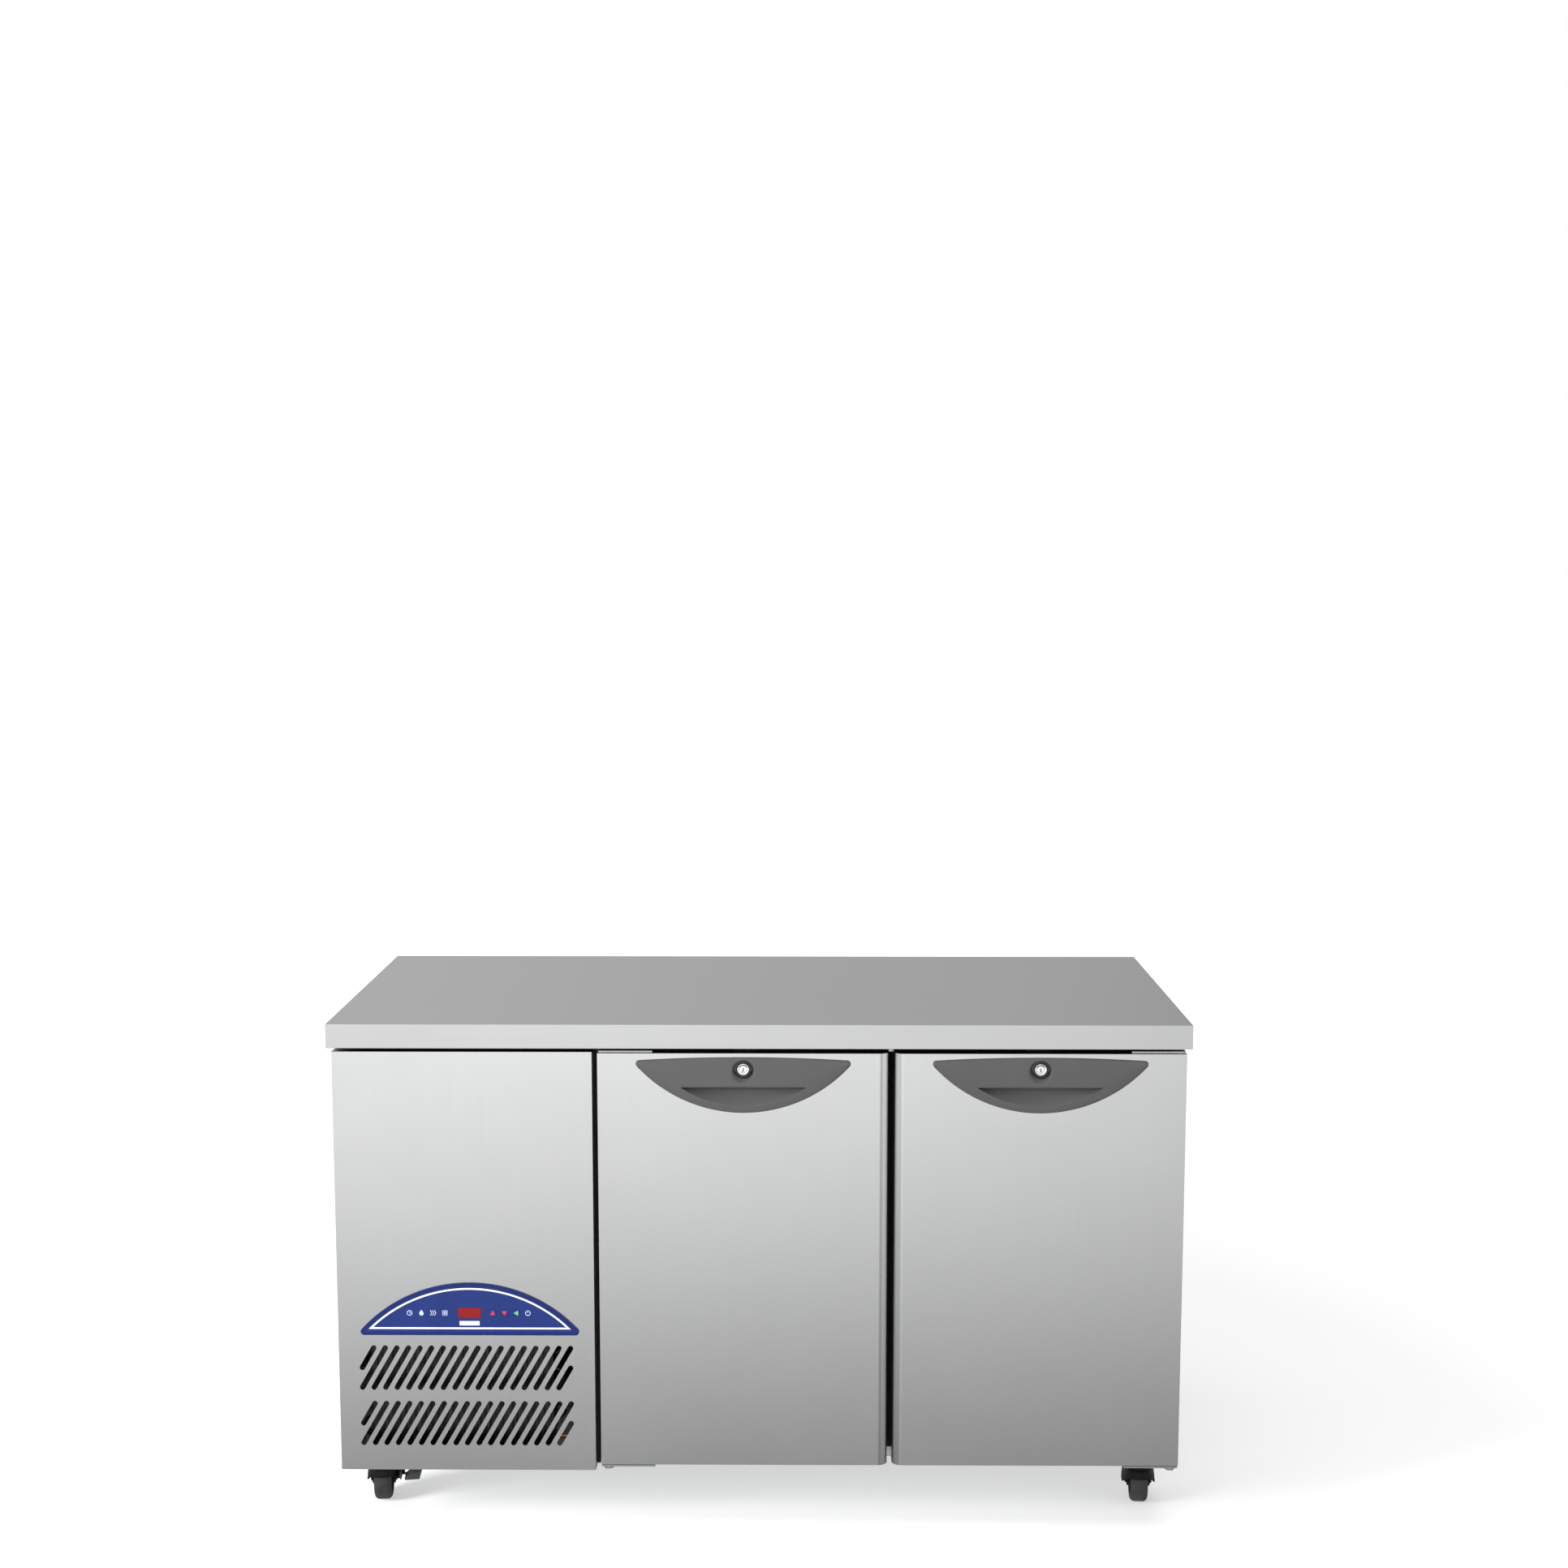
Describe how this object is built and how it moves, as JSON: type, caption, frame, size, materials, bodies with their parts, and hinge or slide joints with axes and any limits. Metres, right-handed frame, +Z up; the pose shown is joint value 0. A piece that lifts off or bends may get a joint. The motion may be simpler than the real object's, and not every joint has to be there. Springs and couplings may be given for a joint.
{
  "type": "undercounter refrigerator",
  "caption": "Low stainless refrigerated counter on castors: louvred cooling-unit bay with control panel, hinged lockable doors with crescent grips, worktop above a shelved chamber.",
  "frame": {"origin": "on the floor, at the middle of the overall plan", "axes": "+Z up, the doors face -Y, +X towards the right-hand door"},
  "size_m": [1.415, 0.667, 0.865],
  "materials": {
    "stainless": "satin",
    "worktop_steel": "satin",
    "inner_steel": "satin",
    "galvanised": "satin",
    "core_board": "matte",
    "foam": "matte",
    "handle_grey": "satin",
    "panel_blue": "gloss",
    "membrane_blue": "satin",
    "display_red": "gloss",
    "key_tint": "satin",
    "gasket_grey": "matte",
    "inner_door": "satin",
    "chrome": "polished",
    "bright_screws": "satin",
    "zinc": "satin",
    "castor_black": "matte",
    "tyre_grey": "matte",
    "pedal_grey": "satin",
    "coil_aluminium": "satin",
    "shroud_black": "satin",
    "motor_black": "satin",
    "fan_black": "satin",
    "compressor_black": "satin",
    "copper": "satin",
    "box_grey": "matte",
    "gland_black": "matte",
    "wire_coated": "satin"
  },
  "bodies": {
    "cabinet": {"worktop": "worktop_steel", "worktop_core": "core_board", "left_side_panel": "stainless", "right_side_panel": "stainless", "back_panel": "galvanised", "rear_grille": "galvanised", "base_tray": "galvanised", "cabinet_insulation": "foam", "cabinet_liner": "inner_steel", "front_frame": "inner_steel", "centre_post": "inner_steel", "unit_panel": "stainless", "control_bezel": "panel_blue", "control_membrane": "membrane_blue", "display_window": "display_red", "condenser_coil": "coil_aluminium", "fan_shroud": "shroud_black", "condenser_fan_motor": "motor_black", "compressor": "compressor_black", "pipework": "copper", "electrical_box": "box_grey", "cable_gland": "gland_black", "evaporator_housing": "galvanised", "evaporator_coil": "coil_aluminium", "evaporator_fan_motor": "motor_black", "air_panel": "inner_steel", "racking": "inner_steel", "shelf_left": "wire_coated", "shelf_right": "wire_coated", "door_brackets": "zinc", "fasteners": "bright_screws", "castor_plates": "zinc"},
    "door_left": {"door_left_skin": "stainless", "door_left_insulation": "foam", "door_left_inner_panel": "inner_door", "door_left_gasket": "gasket_grey", "door_left_handle": "handle_grey"},
    "lock_left": {"lock_left": "chrome"},
    "door_right": {"door_right_skin": "stainless", "door_right_insulation": "foam", "door_right_inner_panel": "inner_door", "door_right_gasket": "gasket_grey", "door_right_handle": "handle_grey"},
    "lock_right": {"lock_right": "chrome"},
    "key_up": {"key_up": "key_tint"},
    "key_down": {"key_down": "key_tint"},
    "key_defrost": {"key_defrost": "key_tint"},
    "key_standby": {"key_standby": "key_tint"},
    "condenser_fan": {"condenser_fan_blade": "fan_black"},
    "evaporator_fan": {"evaporator_fan_blade": "fan_black"},
    "castor_swivel_fl": {"castor_fork_fl": "castor_black"},
    "castor_wheel_fl": {"castor_wheel_fl": "tyre_grey"},
    "castor_swivel_fr": {"castor_fork_fr": "castor_black"},
    "castor_wheel_fr": {"castor_wheel_fr": "tyre_grey"},
    "castor_swivel_rl": {"castor_fork_rl": "castor_black"},
    "castor_wheel_rl": {"castor_wheel_rl": "tyre_grey"},
    "castor_swivel_rr": {"castor_fork_rr": "castor_black"},
    "castor_wheel_rr": {"castor_wheel_rr": "tyre_grey"},
    "castor_brake_fl": {"castor_brake_fl": "pedal_grey"},
    "castor_brake_rr": {"castor_brake_rr": "pedal_grey"}
  },
  "joints": [
    {"name": "door_left_hinge", "type": "hinge", "parent": "cabinet", "child": "door_left", "pos_m": [-0.252, -0.318, 0.125], "axis": [0, 0, -1], "range_deg": [0, 105]},
    {"name": "door_right_hinge", "type": "hinge", "parent": "cabinet", "child": "door_right", "pos_m": [0.687, -0.318, 0.125], "axis": [0, 0, 1], "range_deg": [0, 105]},
    {"name": "lock_left_turn", "type": "hinge", "parent": "door_left", "child": "lock_left", "pos_m": [-0.02525, -0.32, 0.791], "axis": [0, -1, 0], "range_deg": [0, 90]},
    {"name": "lock_right_turn", "type": "hinge", "parent": "door_right", "child": "lock_right", "pos_m": [0.46025, -0.32, 0.791], "axis": [0, 1, 0], "range_deg": [0, 90]},
    {"name": "key_up_press", "type": "slide", "parent": "cabinet", "child": "key_up", "axis": [0, 1, 0], "range_m": [0, 0.0006], "stiffness_N_per_m": 500},
    {"name": "key_down_press", "type": "slide", "parent": "cabinet", "child": "key_down", "axis": [0, 1, 0], "range_m": [0, 0.0006], "stiffness_N_per_m": 500},
    {"name": "key_defrost_press", "type": "slide", "parent": "cabinet", "child": "key_defrost", "axis": [0, 1, 0], "range_m": [0, 0.0006], "stiffness_N_per_m": 500},
    {"name": "key_standby_press", "type": "slide", "parent": "cabinet", "child": "key_standby", "axis": [0, 1, 0], "range_m": [0, 0.0006], "stiffness_N_per_m": 500},
    {"name": "condenser_fan_spin", "type": "hinge", "parent": "cabinet", "child": "condenser_fan", "pos_m": [-0.5, -0.204, 0.247], "axis": [0, 1, 0], "continuous": true},
    {"name": "evaporator_fan_spin", "type": "hinge", "parent": "cabinet", "child": "evaporator_fan", "pos_m": [-0.45, 0, 0.662], "axis": [0, 0, 1], "continuous": true},
    {"name": "castor_fl_swivel", "type": "hinge", "parent": "cabinet", "child": "castor_swivel_fl", "pos_m": [-0.652, -0.2225, 0.092], "axis": [0, 0, 1], "continuous": true},
    {"name": "castor_fl_roll", "type": "hinge", "parent": "castor_swivel_fl", "child": "castor_wheel_fl", "pos_m": [-0.65444, -0.19461, 0.0375], "axis": [0.9962, 0.0872, 0], "continuous": true},
    {"name": "castor_fl_brake_press", "type": "hinge", "parent": "castor_swivel_fl", "child": "castor_brake_fl", "pos_m": [-0.62468, -0.20204, 0.052], "axis": [0.9962, 0.0872, 0], "range_deg": [0, 18]},
    {"name": "castor_fr_swivel", "type": "hinge", "parent": "cabinet", "child": "castor_swivel_fr", "pos_m": [0.652, -0.2225, 0.092], "axis": [0, 0, 1], "continuous": true},
    {"name": "castor_fr_roll", "type": "hinge", "parent": "castor_swivel_fr", "child": "castor_wheel_fr", "pos_m": [0.65395, -0.19457, 0.0375], "axis": [0.9976, -0.0698, 0], "continuous": true},
    {"name": "castor_rl_swivel", "type": "hinge", "parent": "cabinet", "child": "castor_swivel_rl", "pos_m": [-0.652, 0.2345, 0.092], "axis": [0, 0, 1], "continuous": true},
    {"name": "castor_rl_roll", "type": "hinge", "parent": "castor_swivel_rl", "child": "castor_wheel_rl", "pos_m": [-0.66158, 0.26081, 0.0375], "axis": [0.9397, 0.342, 0], "continuous": true},
    {"name": "castor_rr_swivel", "type": "hinge", "parent": "cabinet", "child": "castor_swivel_rr", "pos_m": [0.652, 0.2345, 0.092], "axis": [0, 0, 1], "continuous": true},
    {"name": "castor_rr_roll", "type": "hinge", "parent": "castor_swivel_rr", "child": "castor_wheel_rr", "pos_m": [0.64475, 0.20745, 0.0375], "axis": [-0.9659, 0.2588, 0], "continuous": true},
    {"name": "castor_rr_brake_press", "type": "hinge", "parent": "castor_swivel_rr", "child": "castor_brake_rr", "pos_m": [0.61933, 0.22462, 0.052], "axis": [-0.9659, 0.2588, 0], "range_deg": [0, 18]}
  ]
}
